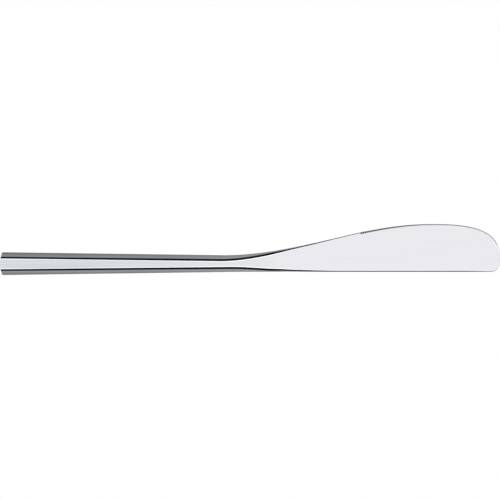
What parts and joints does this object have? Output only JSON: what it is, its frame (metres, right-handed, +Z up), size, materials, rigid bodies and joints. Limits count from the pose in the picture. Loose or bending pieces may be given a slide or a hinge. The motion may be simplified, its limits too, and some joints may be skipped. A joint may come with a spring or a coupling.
{
  "type": "table knife",
  "caption": "Table knife with a slim faceted hollow handle of welded shells, a narrow waist, and a broad blade with a finely toothed, curved edge and a rounded nose.",
  "frame": {"origin": "middle of the handle's lower flat, on which the knife lies", "axes": "+X along the handle to the tip of the blade, +Y to the cutting edge, +Z up out of the upper flat"},
  "size_m": [0.2351, 0.0241, 0.0066],
  "materials": {
    "blade_steel": "polished hardened stainless steel, not plated",
    "handle_steel": "polished stainless steel sheet, not plated",
    "weld_steel": "ground flush and polished",
    "quartz_putty": "matt, sand in resin"
  },
  "bodies": {
    "root": {"blade": "blade_steel", "upper_shell": "handle_steel", "lower_shell": "handle_steel", "seam_weld": "weld_steel", "neck_weld": "weld_steel", "handle_filler": "quartz_putty"}
  },
  "joints": []
}
